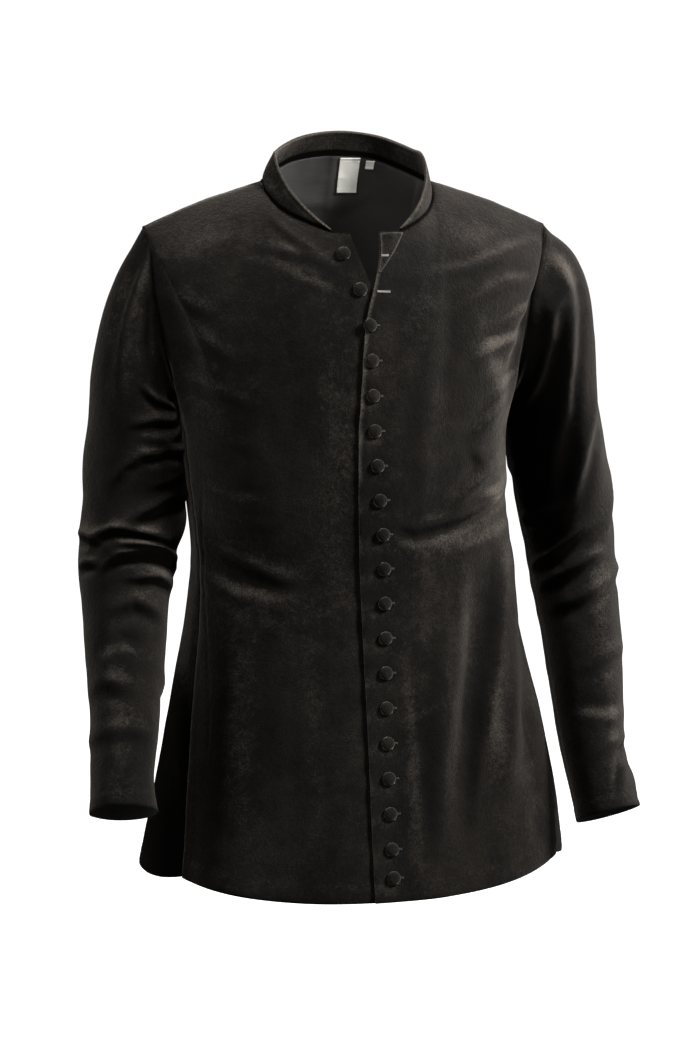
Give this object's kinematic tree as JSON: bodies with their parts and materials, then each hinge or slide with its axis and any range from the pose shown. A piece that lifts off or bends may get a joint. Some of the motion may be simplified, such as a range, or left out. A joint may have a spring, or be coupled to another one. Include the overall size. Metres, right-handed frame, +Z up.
{
  "type": "cotehardie",
  "caption": "Fitted hip-length velvet jacket with a low stand collar, long set-in sleeves, a flared skirt with side vents and a close row of covered buttons, filled out.",
  "frame": {"origin": "midway between the two neck points, where the shoulder seams meet the collar, on the centre line of the body: the height at which the jacket hangs from the wearer", "axes": "+Z up, the front of the jacket faces -Y, the wearer's left is +X"},
  "size_m": [0.656, 0.3649, 0.851],
  "materials": {
    "velvet": "black cotton velvet, short dense pile",
    "buttons": "half-ball buttons covered with the same velvet",
    "lining": "dark grey plain woven lining, matt",
    "label": "cream woven tape, blank"
  },
  "bodies": {
    "root": {"front_left": "velvet", "front_right": "velvet", "back": "velvet", "sleeve_left": "velvet", "sleeve_right": "velvet", "collar": "velvet", "front_left_corner": "velvet", "back_lining": "lining", "label": "label", "size_tab": "label", "button_01": "buttons", "button_02": "buttons", "button_03": "buttons", "button_04": "buttons", "button_05": "buttons", "button_06": "buttons", "button_07": "buttons", "button_08": "buttons", "button_09": "buttons", "button_10": "buttons", "button_11": "buttons", "button_12": "buttons", "button_13": "buttons", "button_14": "buttons", "button_15": "buttons", "button_16": "buttons", "button_17": "buttons", "button_18": "buttons", "button_19": "buttons"}
  },
  "joints": []
}
